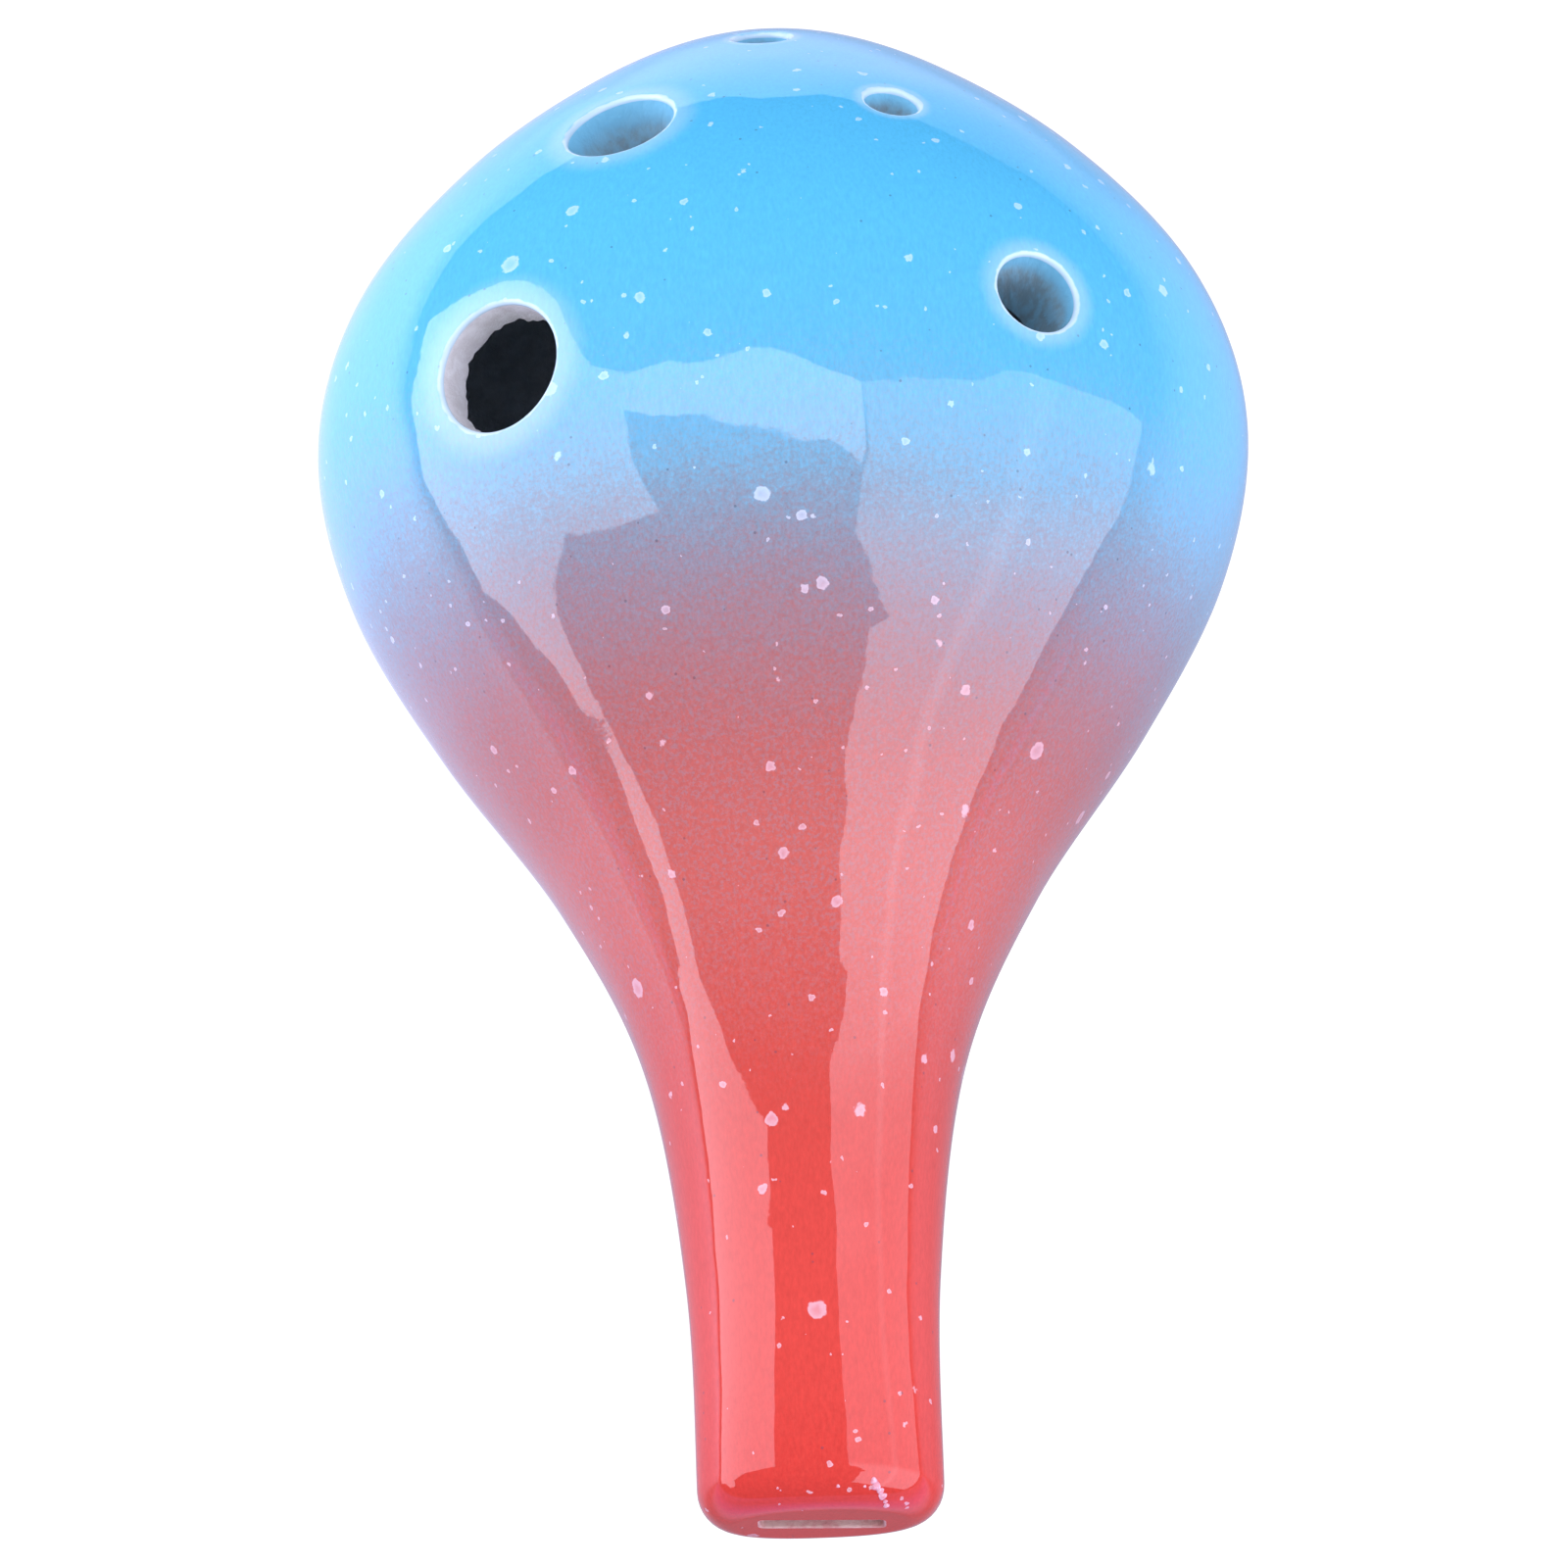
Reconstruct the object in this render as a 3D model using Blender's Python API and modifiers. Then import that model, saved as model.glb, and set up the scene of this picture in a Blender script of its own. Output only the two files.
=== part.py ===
"""Pear-shaped ceramic ocarina: beak towards -Y, tail towards +Y, finger holes up (+Z).

The design is laid out in mm from the mouth face and the seam between the two shells, and an empty at the
end of build() stands it on its resting flat, centred on the origin.
"""
import math

import bmesh
import bpy
from mathutils import Matrix, Vector

MM = 0.001

# Stations along the body, mm: distance from the mouth, half width, height above and depth below the seam.
STATIONS = (
    (0.0, 9.3, 6.9, 6.4),
    (18.8, 9.7, 9.3, 9.2),
    (36.8, 12.5, 13.4, 14.0),
    (50.8, 18.9, 20.2, 19.3),
    (63.8, 27.9, 27.0, 23.0),
    (75.8, 34.4, 30.4, 24.2),
    (87.8, 36.8, 30.5, 23.4),
    (98.8, 33.9, 28.1, 20.6),
    (108.8, 26.2, 22.1, 16.0),
    (116.8, 16.7, 13.7, 9.9),
    (121.8, 8.0, 6.2, 4.8),
    (123.8, 0.0, 0.0, 0.0),
)
LENGTH = 123.8          # mouth face to tail
ROUND_TOP = 2.15        # superellipse exponents: the beak above the seam,
SQUARE_UNDER = 2.5      # the beak below it,
ROUND_CHAMBER = 2.1     # and the chamber
MOUTH_EDGE = 2.9        # rounding of the mouth end
WALL = 3.3              # chamber wall
JOIN = 0.30             # slip line between luted pieces
BEAK_END = 38.8         # where the beak meets the chamber
BEAK_SEAM = 2.1         # height of the beak's own seam, above the slot
PLUG_START = 111.8      # where the solid tail tip begins
SEAT_DEPTH = 23.4       # plane of the resting flat below the seam
BLEND = (0.15, 0.55)    # shares of the length between which the beak's section turns into the chamber's
RING = 48               # points round a section
HOLE_SIDES = 32         # points round a hole
BOSS_SIDES, CORD_SIDES = 32, 24
MERGE = 0.00001         # m, points closer than this on a turned solid's axis are one
BIG = 80.0              # past every side of the body
OVER = 5.0              # how far a cutter stands clear of the end that it leaves whole
GLAZE_ROUGH, GLAZE_COAT, CLAY_ROUGH = 0.12, 1.0, 0.85
STEPS = 4               # sections per station
FINE_STEPS = 16         # the same where a size is looked up
EDGE_STEPS = 6          # sections in the mouth's rounding
HOLLOW_ROWS = 22        # sections of the hollow

WINDWAY_MOUTH = (9.3, 2.0, 0.2)    # width, height, centre z at the mouth
WINDWAY_EXIT = (8.4, 1.3, -12.6)      # the same at the sound window
WINDOW_WIDTH = 8.7
WINDOW_TOP = -8.0                     # z that the window's cutter reaches up to, inside the hollow
LABIUM_EDGE = (44.6, -14.3)           # y, z of the voicing edge
LABIUM_END = 53.8
RAMP_LOW = (0.6, 6.3)                 # the ramp's outer end: back from the wedge's end, down from its edge
WEDGE_THICK = 2.0
BLOCK_START = 3.0
BLOCK_SLACK = 0.1                     # the strip is this much narrower than the windway's exit, to each side

# Holes: x, y, side (+1 top, -1 underside), radius, mm
FINGER_HOLES = (
    (-21.7, 84.9, 1, 5.15),
    (19.9, 89.1, 1, 3.30),
    (-11.8, 106.5, 1, 4.30),
    (9.4, 107.6, 1, 2.10),
)
THUMB_HOLES = (
    (-18.0, 84.8, -1, 3.60),
    (18.0, 84.8, -1, 3.20),
)
CORD_HOLE = (-0.5, 118.6, 2.2)    # x, y, radius
CORD_MEET = (109.4, 1.0)          # y, z where its two legs meet
BOSS_START = 104.8
BOSS_RADIUS = 7.0
BOSS_TAPER = 0.8
BOSS_ROOT = 2.0         # how far the boss goes into the tail tip
CORD_OVER = 6.0         # how far a cord cutter is longer than the way from its mouth to the meeting point
CORD_PAST = 1.3         # how far it goes past the meeting point, in radii
RIM = 0.45              # rounding of the hole rims
RIM_TURN = math.radians(74)
RIM_TURNS = 4           # facets across a rim
RIM_FLARE = 1.9         # a hole cutter's reach above the surface, in roundings
HOLE_ABOVE, HOLE_DEPTH = 0.9, 9.0
DOME_RADIUS = 30.0      # rough radius of the outside where the holes are
COLLAR = 4.2            # how far the clay round a small hole stands in from the chamber wall
COLLAR_WALL = 1.2
COLLAR_ROOT = 1.6       # how deep under the outside a collar is rooted in the wall
BARE_RADIUS = 5.0       # a hole wider than this has no collar


def clear_scene():
    for ob in list(bpy.data.objects):
        bpy.data.objects.remove(ob)


def collection(name, cutters=False):
    col = bpy.data.collections.new(name)
    bpy.context.scene.collection.children.link(col)
    col.hide_render = cutters
    return col


def material(name, rgb, roughness, coat=0.0):
    mat = bpy.data.materials.new(name)
    mat.use_nodes = True
    bsdf = mat.node_tree.nodes["Principled BSDF"]
    bsdf.inputs["Base Color"].default_value = (*rgb, 1.0)
    bsdf.inputs["Roughness"].default_value = roughness
    bsdf.inputs["Coat Weight"].default_value = coat
    mat.diffuse_color = (*rgb, 1.0)
    return mat


def add_object(name, bm, col, mat=None, cutter=False):
    bmesh.ops.recalc_face_normals(bm, faces=bm.faces)
    mesh = bpy.data.meshes.new(name)
    bm.to_mesh(mesh)
    bm.free()
    ob = bpy.data.objects.new(name, mesh)
    col.objects.link(ob)
    if mat:
        mesh.materials.append(mat)
    if cutter:
        ob.hide_render = True
        ob.display_type = "WIRE"
    return ob


def rails(steps):
    """Smooth (y, half width, height, depth) rows through the stations, closed square at the tail."""
    first = [2 * a - b for a, b in zip(STATIONS[0], STATIONS[1])]
    before_tail = STATIONS[-2]
    last = (before_tail[0],) + tuple(-v for v in before_tail[1:])
    pts = [first, *STATIONS, last]
    rows = []
    for i in range(1, len(pts) - 2):
        p0, p1, p2, p3 = pts[i - 1:i + 3]
        n = steps * 2 if i >= len(pts) - 4 else steps
        for k in range(n):
            u = k / n
            rows.append(tuple(
                0.5 * (2 * b + (c - a) * u + (2 * a - 5 * b + 4 * c - d) * u * u
                       + (3 * b - a - 3 * c + d) * u ** 3)
                for a, b, c, d in zip(p0, p1, p2, p3)))
    rows.append(tuple(float(v) for v in STATIONS[-1]))
    return rows


def section_at(y):
    """Half width, height and depth at a distance from the mouth."""
    rows = rails(FINE_STEPS)
    for a, b in zip(rows, rows[1:]):
        if a[0] <= y <= b[0]:
            f = (y - a[0]) / (b[0] - a[0])
            return tuple(p + (q - p) * f for p, q in zip(a[1:], b[1:]))
    return rows[-1][1:]


def exponent(y, above):
    """Superellipse exponent of the section at a distance from the mouth."""
    start, end = BLEND
    f = min(max((y / LENGTH - start) / (end - start), 0.0), 1.0)
    f = f * f * (3 - 2 * f)
    return (ROUND_TOP if above else SQUARE_UNDER) * (1 - f) + ROUND_CHAMBER * f


def surface_point(x, y, side):
    """Point and outward normal on the outside, mm."""
    def z_at(px, py):
        w, up, down = section_at(py)
        n = exponent(py, side > 0)
        h = up if side > 0 else down
        return side * h * max(1.0 - abs(px / w) ** n, 0.0) ** (1.0 / n)
    d = 0.4
    z = z_at(x, y)
    slope_x = (z_at(x + d, y) - z_at(x - d, y)) / (2 * d)
    slope_y = (z_at(x, y + d) - z_at(x, y - d)) / (2 * d)
    return Vector((x, y, z)), (Vector((-slope_x, -slope_y, 1.0)) * side).normalized()


def ring_points(y, w, up, down):
    pts = []
    for k in range(RING):
        a = 2 * math.pi * k / RING
        c, s = math.cos(a), math.sin(a)
        n = exponent(y, s > 0)
        r = (abs(c) ** n + abs(s) ** n) ** (-1.0 / n)
        pts.append(Vector((w * r * c, y, (up if s > 0 else down) * r * s)) * MM)
    return pts


def loft(rows, tip=None):
    """Skin over the sections; the first is capped flat, the last is capped flat or drawn to a tip."""
    bm = bmesh.new()
    loops = [[bm.verts.new(p) for p in ring_points(*row)] for row in rows]
    for a, b in zip(loops, loops[1:]):
        for k in range(RING):
            j = (k + 1) % RING
            bm.faces.new((a[k], a[j], b[j], b[k]))
    bm.faces.new(loops[0])
    if tip is None:
        bm.faces.new(loops[-1])
    else:
        end = bm.verts.new(Vector((0.0, tip, 0.0)) * MM)
        for k in range(RING):
            bm.faces.new((loops[-1][k], loops[-1][(k + 1) % RING], end))
    return bm


def outer_rows():
    rows = []
    for k in range(EDGE_STEPS):
        a = math.pi / 2 * k / EDGE_STEPS
        y = MOUTH_EDGE * (1 - math.cos(a))
        inset = MOUTH_EDGE * (1 - math.sin(a))
        w, up, down = section_at(y)
        rows.append((y, w - inset, up - inset, down - inset))
    rows += [r for r in rails(STEPS) if r[0] >= MOUTH_EDGE]
    return rows[:-1]


def inner_rows():
    """The chamber's hollow: the outside drawn in by the wall, open at both of the shells' ends."""
    y0, y1 = BEAK_END - 1.0, PLUG_START + 1.0
    rows = []
    for k in range(HOLLOW_ROWS):
        y = y0 + (y1 - y0) * k / (HOLLOW_ROWS - 1)
        # the wall is measured square to the surface, so the section shrinks more where it tapers
        sizes = zip(section_at(y - 0.5), section_at(y), section_at(y + 0.5))
        rows.append((y, *(here - WALL * math.hypot(1, after - before) for before, here, after in sizes)))
    return rows


def box_mesh(x, y, z):
    bm = bmesh.new()
    centre = Vector([(a + b) / 2 for a, b in (x, y, z)]) * MM
    size = [(b - a) * MM for a, b in (x, y, z)]
    bmesh.ops.create_cube(bm, size=1.0, matrix=Matrix.Translation(centre) @ Matrix.Diagonal((*size, 1.0)))
    return bm


def prism_mesh(outline, half_width):
    """A flat outline in Y and Z, drawn out to both sides in X."""
    bm = bmesh.new()
    face = bm.faces.new([bm.verts.new(Vector((-half_width, y, z)) * MM) for y, z in outline])
    out = bmesh.ops.extrude_face_region(bm, geom=[face])
    verts = [g for g in out["geom"] if isinstance(g, bmesh.types.BMVert)]
    bmesh.ops.translate(bm, verts=verts, vec=Vector((2 * half_width, 0, 0)) * MM)
    return bm


def windway_size(y):
    """Width, height and centre height of the air passage at a distance from the mouth."""
    f = y / BEAK_END
    return tuple(a + (b - a) * f for a, b in zip(WINDWAY_MOUTH, WINDWAY_EXIT))


def windway_mesh():
    """The air passage: tapers from the mouth slot down to its exit at the sound window."""
    bm = bmesh.new()
    bmesh.ops.create_cube(bm, size=1.0)
    for v in bm.verts:
        y = -OVER if v.co.y < 0 else BEAK_END + JOIN
        width, height, z = windway_size(y)
        v.co = Vector((v.co.x * width, y, z + v.co.z * height)) * MM
    return bm


def hole_profile(radius):
    """Half outline of a hole cutter, top to bottom: flared at the surface so that it leaves a rounded rim."""
    outline = [(0.0, HOLE_ABOVE), (radius + RIM * RIM_FLARE, HOLE_ABOVE)]
    for k in range(RIM_TURNS, -1, -1):
        a = RIM_TURN * k / RIM_TURNS
        outline.append((radius + RIM * (1 - math.cos(a)), RIM * (math.sin(a) - 1)))
    return outline + [(radius, -HOLE_DEPTH), (0.0, -HOLE_DEPTH)]


def collar_profile(radius):
    """Half outline of the clay round a small hole, top to bottom; the hole is cut through it later."""
    reach = radius + COLLAR_WALL
    end = -(WALL + COLLAR)
    return [(0.0, -COLLAR_ROOT), (reach, -COLLAR_ROOT), (reach, end), (0.0, end)]


def turned(name, col, x, y, side, radius, profile, start=0.0):
    """A turned solid standing square to the surface, which falls away from the centre to the hole's rim."""
    bm = bmesh.new()
    c, s = math.cos(start), math.sin(start)
    verts = [bm.verts.new(Vector((r * c, r * s, h)) * MM) for r, h in profile]
    for a, b in zip(verts, verts[1:]):
        bm.edges.new((a, b))
    ob = add_object(name, bm, col, cutter=True)
    screw = ob.modifiers.new("turned", "SCREW")
    screw.steps = screw.render_steps = HOLE_SIDES
    screw.use_merge_vertices = True
    screw.merge_threshold = MERGE
    point, normal = surface_point(x, y, side)
    fall = radius * radius / (2 * DOME_RADIUS)
    ob.location = (point - normal * fall) * MM
    ob.rotation_euler = normal.to_track_quat("Z", "Y").to_euler()
    return ob


def cord_bore(name, col, side):
    """One leg of the cord tunnel: from the tail's slope inwards, to where the two legs meet."""
    x, y, radius = CORD_HOLE
    outside, _ = surface_point(x, y, side)
    inside = Vector((x, *CORD_MEET))
    along = outside - inside
    bm = bmesh.new()
    length = along.length + CORD_OVER
    turn = along.to_track_quat("Z", "Y").to_matrix().to_4x4()
    middle = inside + along.normalized() * (length / 2 - radius * CORD_PAST)
    place = Matrix.Translation(middle * MM) @ turn
    bmesh.ops.create_cone(bm, segments=CORD_SIDES, radius1=radius * MM, radius2=radius * MM,
                          depth=length * MM, cap_ends=True, matrix=place)
    return add_object(name, bm, col, cutter=True)


def boss_mesh():
    """The wad of clay behind the tail tip that the cord tunnel turns round in."""
    bm = bmesh.new()
    start, end = BOSS_START, PLUG_START + BOSS_ROOT
    turn = Matrix.Rotation(math.radians(90), 4, "X")
    place = Matrix.Translation(Vector((0, (start + end) / 2, CORD_MEET[1])) * MM) @ turn
    bmesh.ops.create_cone(bm, segments=BOSS_SIDES, radius1=(BOSS_RADIUS + BOSS_TAPER) * MM,
                          radius2=(BOSS_RADIUS - BOSS_TAPER) * MM, depth=(end - start) * MM,
                          cap_ends=True, matrix=place)
    return bm


def cut(ob, cutter, operation="DIFFERENCE"):
    mod = ob.modifiers.new(cutter.name, "BOOLEAN")
    mod.solver = "EXACT"
    mod.operation = operation
    mod.object = cutter


def build():
    clear_scene()
    parts = collection("ocarina")
    cutters = collection("cutters", cutters=True)
    blue = material("blue_glaze", (0.10, 0.42, 0.80), GLAZE_ROUGH, GLAZE_COAT)
    red = material("red_glaze", (0.74, 0.13, 0.11), GLAZE_ROUGH, GLAZE_COAT)
    bisque = material("bisque", (0.62, 0.55, 0.46), CLAY_ROUGH)

    def tool(name, bm):
        return add_object(name, bm, cutters, cutter=True)

    gap = JOIN / 2
    hollow = tool("hollow", loft(inner_rows()))
    windway = tool("windway", windway_mesh())
    seat = tool("seat", box_mesh((-BIG, BIG), (-OVER, LENGTH + OVER), (-BIG, -SEAT_DEPTH)))
    outer = tool("outer", loft(outer_rows(), LENGTH))

    def shaped(name, y, z, mat):
        ob = add_object(name, loft(outer_rows(), LENGTH), parts, mat)
        cut(ob, tool(name + "_block", box_mesh((-BIG, BIG), y, z)), "INTERSECT")
        return ob

    chamber = (BEAK_END + gap, PLUG_START - gap)
    upper = shaped("upper_shell", chamber, (gap, BIG), blue)
    lower = shaped("lower_shell", chamber, (-BIG, -gap), blue)
    for shell in (upper, lower):
        cut(shell, hollow)
    for shell, kind, holes in ((upper, "finger", FINGER_HOLES), (lower, "thumb", THUMB_HOLES)):
        for k, hole in enumerate(holes):
            if hole[-1] < BARE_RADIUS:
                # the hollow leaves the collar standing, its sides between the hole's sides
                cut(hollow, turned("%s_collar_%d" % (kind, k + 1), cutters, *hole, collar_profile(hole[-1]),
                                   math.pi / HOLE_SIDES))
            cut(shell, turned("%s_hole_%d" % (kind, k + 1), cutters, *hole, hole_profile(hole[-1])))
    cut(lower, seat)
    notch = WINDOW_WIDTH / 2 + JOIN
    cut(lower, tool("sound_window", box_mesh((-notch, notch), (BEAK_END - OVER, LABIUM_END + JOIN),
                                             (-BIG, WINDOW_TOP))))

    beak = (-OVER, BEAK_END - gap)
    shaped("mouthpiece_upper", beak, (BEAK_SEAM + gap, BIG), red)
    beak_lower = shaped("mouthpiece_lower", beak, (-BIG, BEAK_SEAM - gap), red)
    cut(beak_lower, windway)

    # the strip fills a trough down to the windway's ceiling
    def ceiling(y, above=0.5):
        _, height, z = windway_size(y)
        return z + height * above

    strip = WINDWAY_EXIT[0] / 2 - BLOCK_SLACK
    start, end, top = BLOCK_START - JOIN, BEAK_END + OVER, BEAK_SEAM + OVER
    cut(beak_lower, tool("strip_trough", prism_mesh(
        ((start, top), (end, top), (end, ceiling(end, 0.0)), (start, ceiling(start, 0.0))), strip + JOIN)))

    strip_end = BEAK_END - gap
    strip_top = BEAK_SEAM - JOIN
    add_object("windway_block", prism_mesh(
        ((BLOCK_START, strip_top), (strip_end, strip_top), (strip_end, ceiling(strip_end)),
         (BLOCK_START, ceiling(BLOCK_START))), strip), parts, bisque)

    # the voicing wedge: edge on the jet's line, ramp running out to the underside
    ly, lz = LABIUM_EDGE
    labium = add_object("labium", prism_mesh(
        ((ly, lz), (LABIUM_END, lz - WEDGE_THICK), (LABIUM_END, -SEAT_DEPTH - WEDGE_THICK),
         (LABIUM_END - RAMP_LOW[0], lz - RAMP_LOW[1])),
        WINDOW_WIDTH / 2), parts, bisque)
    cut(labium, outer, "INTERSECT")

    tail = (PLUG_START + gap, LENGTH + OVER)
    plug = shaped("tail_plug", tail, (-BIG, BIG), blue)
    cut(plug, tool("boss", boss_mesh()), "UNION")
    cut(plug, cord_bore("cord_hole_top", cutters, 1))
    cut(plug, cord_bore("cord_hole_under", cutters, -1))

    # the design above starts at the mouth and the seam; the part stands centred on its resting flat
    stand = bpy.data.objects.new("stand", None)
    stand.location = Vector((0, -LENGTH / 2, SEAT_DEPTH)) * MM
    parts.objects.link(stand)
    for ob in [*parts.objects, *cutters.objects]:
        if ob is not stand:
            ob.parent = stand


build()
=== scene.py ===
"""Glazed ceramic ocarina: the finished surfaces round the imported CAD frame, with a studio and a camera."""
import math

import bpy
import numpy as np
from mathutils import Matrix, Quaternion, Vector
from mathutils.geometry import delaunay_2d_cdt


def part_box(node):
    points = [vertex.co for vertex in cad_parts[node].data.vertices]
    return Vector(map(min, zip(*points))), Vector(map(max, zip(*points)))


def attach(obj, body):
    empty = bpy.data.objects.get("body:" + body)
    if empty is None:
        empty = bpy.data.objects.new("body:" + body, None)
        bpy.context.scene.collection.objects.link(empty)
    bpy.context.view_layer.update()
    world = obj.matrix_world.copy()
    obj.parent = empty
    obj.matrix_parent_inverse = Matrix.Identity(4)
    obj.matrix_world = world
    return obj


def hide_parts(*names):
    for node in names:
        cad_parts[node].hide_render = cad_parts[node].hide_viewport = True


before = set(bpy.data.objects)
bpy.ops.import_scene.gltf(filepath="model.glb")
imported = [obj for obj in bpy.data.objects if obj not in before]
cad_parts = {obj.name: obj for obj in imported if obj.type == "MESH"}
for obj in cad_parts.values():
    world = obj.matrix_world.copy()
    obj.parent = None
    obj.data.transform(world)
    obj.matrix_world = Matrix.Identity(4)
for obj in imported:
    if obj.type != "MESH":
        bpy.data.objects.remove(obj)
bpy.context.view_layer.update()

MM = 0.001

# Stations along the body, mm: distance from the mouth, half width, height above and depth below the seam.
STATIONS = np.array((
    (0.0, 9.3, 6.9, 6.4),
    (18.8, 9.7, 9.3, 9.2),
    (36.8, 12.5, 13.4, 14.0),
    (50.8, 18.9, 20.2, 19.3),
    (63.8, 27.9, 27.0, 23.0),
    (75.8, 34.4, 30.4, 24.2),
    (87.8, 36.8, 30.5, 23.4),
    (98.8, 33.9, 28.1, 20.6),
    (108.8, 26.2, 22.1, 16.0),
    (116.8, 16.7, 13.7, 9.9),
    (121.8, 8.0, 6.2, 4.8),
    (123.8, 0.0, 0.0, 0.0),
))
LENGTH = 123.8
ROUND_TOP = 2.15         # superellipse exponents: the beak above and below the seam, and the chamber
SQUARE_UNDER = 2.5
ROUND_CHAMBER = 2.1
TURNS_ROUND = (0.15, 0.40)         # where the beak's section turns into the chamber's: start and span
MOUTH_EDGE = 2.9
WALL = 3.3
BEAK_END = 38.8
PLUG_START = 111.8
SEAT_DEPTH = 23.4
SEAT_SOFT = 0.2          # how softly the resting flat runs into the belly

FINGER_HOLES = (         # name, x, y, radius
    ("low_left", -21.7, 84.9, 5.15),
    ("low_right", 19.9, 89.1, 3.30),
    ("high_left", -11.8, 106.5, 4.30),
    ("high_right", 9.4, 107.6, 2.10),
)
THUMB_HOLES = (
    ("thumb_left", -18.0, 84.8, 3.60),
    ("thumb_right", 18.0, 84.8, 3.20),
)
BARE_RADIUS = 5.0        # a larger hole is cut through bare clay; a smaller one is glazed and has a collar
COLLAR, COLLAR_WALL = 4.2, 1.2     # how far a collar stands in from the lining, and its thickness
RIM, CORD_RIM, NOTCH_RIM, SLOT_RIM = 0.45, 0.5, 0.5, 0.18          # radius of each kind of lip
LIP_STEPS = 6
RAGGED, ROUGH = 0.24, 0.04         # the largest hole: how uneven its inner edge and its wall are

CORD_HOLE = (-0.5, 118.6, 2.2)     # x, y, radius
CORD_MEET = (109.4, 1.0)           # y and z where the tunnel's two legs meet
CORD_SIDES, CORD_STEPS = 40, 8
BOSS_START, BOSS_RADIUS = 104.8, 7.0
BOSS_SIDES, BOSS_TAPER, BOSS_EDGE = 48, 0.6, 1.0

SLOT_MOUTH = (9.3, 2.0, 0.2)       # width, height, centre z
SLOT_EXIT = (8.4, 1.3, -12.6)
SLOT_CORNER = 0.4
SLOT_TILT, TILT_END = 0.12, 3.0    # the hand-cut slot slopes a little at its mouth

WINDOW_WIDTH = 9.3
NOTCH_CORNER = 1.2
LABIUM_EDGE = (44.6, -14.3)
LABIUM_END = 54.1
WEDGE_GAP = 0.1          # between the voicing wedge and the sides and end of its window
WEDGE_TIP = ((0.1, 0.16), (0.0, 0.0), (0.15, -0.16))     # the blunt edge, from LABIUM_EDGE: y, z
WEDGE_FOOT = ((1.2, 0.65), (0.0, 0.12))        # the ramp near the skin: before its end, above the skin
WEDGE_FALL = 2.0         # how far the wedge's top slopes down
WEDGE_COLUMNS = 25

# beads of glaze on the mouth's rounding: x, running number along the skin, radius, height
BEADS = ((4.0, 0.70, 0.29, 0.15), (4.15, 0.61, 0.38, 0.20), (4.45, 0.53, 0.30, 0.18),
         (4.6, 0.44, 0.35, 0.20), (4.8, 0.34, 0.20, 0.12), (4.85, 0.25, 0.26, 0.16),
         (3.3, 0.60, 0.14, 0.08), (1.3, 0.60, 0.16, 0.10), (-3.2, 0.62, 0.12, 0.06),
         (-3.0, 0.58, 0.09, 0.05))
BEAD_SIDES, BEAD_RINGS, BEAD_SUNK = 20, 6, 0.12
BEAD_WOBBLE, BEAD_LOBES, BEAD_TURN = 0.12, 3, 7          # how uneven a bead's outline is

# where the design's origin (mouth face, seam height) stands in the row frame
mouth_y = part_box("mouthpiece_upper")[0].y
seam_z = (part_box("upper_shell")[0].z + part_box("lower_shell")[1].z) / 2
ORIGIN = np.array((0.0, mouth_y, seam_z))

# slots: glaze, bare clay, the chamber's inside painted darker as shade, the glaze in small holes, the mouth
# slot's clay
GLAZE, CLAY, SHADED_LINING, BORE, SLOT = range(5)


# ---------------------------------------------------------------- the body's shape

def spline(u):
    """Stations at a running number: whole numbers are the stations; the tail closes square to the axis."""
    first = 2 * STATIONS[0] - STATIONS[1]
    last = STATIONS[-2] * (1, -1, -1, -1)
    pts = np.vstack((first, STATIONS, last))
    u = np.clip(np.asarray(u, float), 0, len(STATIONS) - 1)
    k = np.minimum(u.astype(int), len(STATIONS) - 2)
    t = (u - k)[..., None]
    p0, p1, p2, p3 = (pts[k + i] for i in range(4))
    return 0.5 * (2 * p1 + (p2 - p0) * t + (2 * p0 - 5 * p1 + 4 * p2 - p3) * t ** 2
                  + (3 * p1 - p0 - 3 * p2 + p3) * t ** 3)


TABLE_U = np.linspace(0, len(STATIONS) - 1, 1601)
TABLE = spline(TABLE_U)
EDGE_U = float(np.interp(MOUTH_EDGE, TABLE[:, 0], TABLE_U))
V_END = len(STATIONS) - EDGE_U


def v_at(y):
    """Running number along the skin at a distance from the mouth: 0 to 1 is the mouth's rounding."""
    return 1 + float(np.interp(y, TABLE[:, 0], TABLE_U)) - EDGE_U


def outline(v):
    """Distance from the mouth, half width, height above and depth below the seam."""
    a = np.clip(v, 0, 1) * math.pi / 2
    near_y = MOUTH_EDGE * (1 - np.cos(a))
    inset = MOUTH_EDGE * (1 - np.sin(a))
    near = [np.interp(near_y, TABLE[:, 0], TABLE[:, i]) - inset for i in (1, 2, 3)]
    far = spline(EDGE_U + np.maximum(v - 1, 0))
    return [np.where(v < 1, n, f) for n, f in zip((near_y, *near), np.moveaxis(far, -1, 0))]


def skin(v, th):
    """Points on the outside, mm."""
    v, th = np.broadcast_arrays(np.asarray(v, float), np.asarray(th, float))
    y, w, up, down = outline(v)
    start, span = TURNS_ROUND
    f = np.clip((y / LENGTH - start) / span, 0, 1)
    f = f * f * (3 - 2 * f)
    c, s = np.cos(th), np.sin(th)
    n = np.where(s > 0, ROUND_TOP, SQUARE_UNDER) * (1 - f) + ROUND_CHAMBER * f
    r = (np.abs(c) ** n + np.abs(s) ** n) ** (-1 / n)
    z = np.where(s > 0, up, down) * r * s
    seated = SEAT_SOFT * np.logaddexp(z / SEAT_SOFT, -SEAT_DEPTH / SEAT_SOFT)
    z = np.where(z < -SEAT_DEPTH + 8 * SEAT_SOFT, seated, z)
    return np.stack((w * r * c, y, z), -1)


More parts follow.
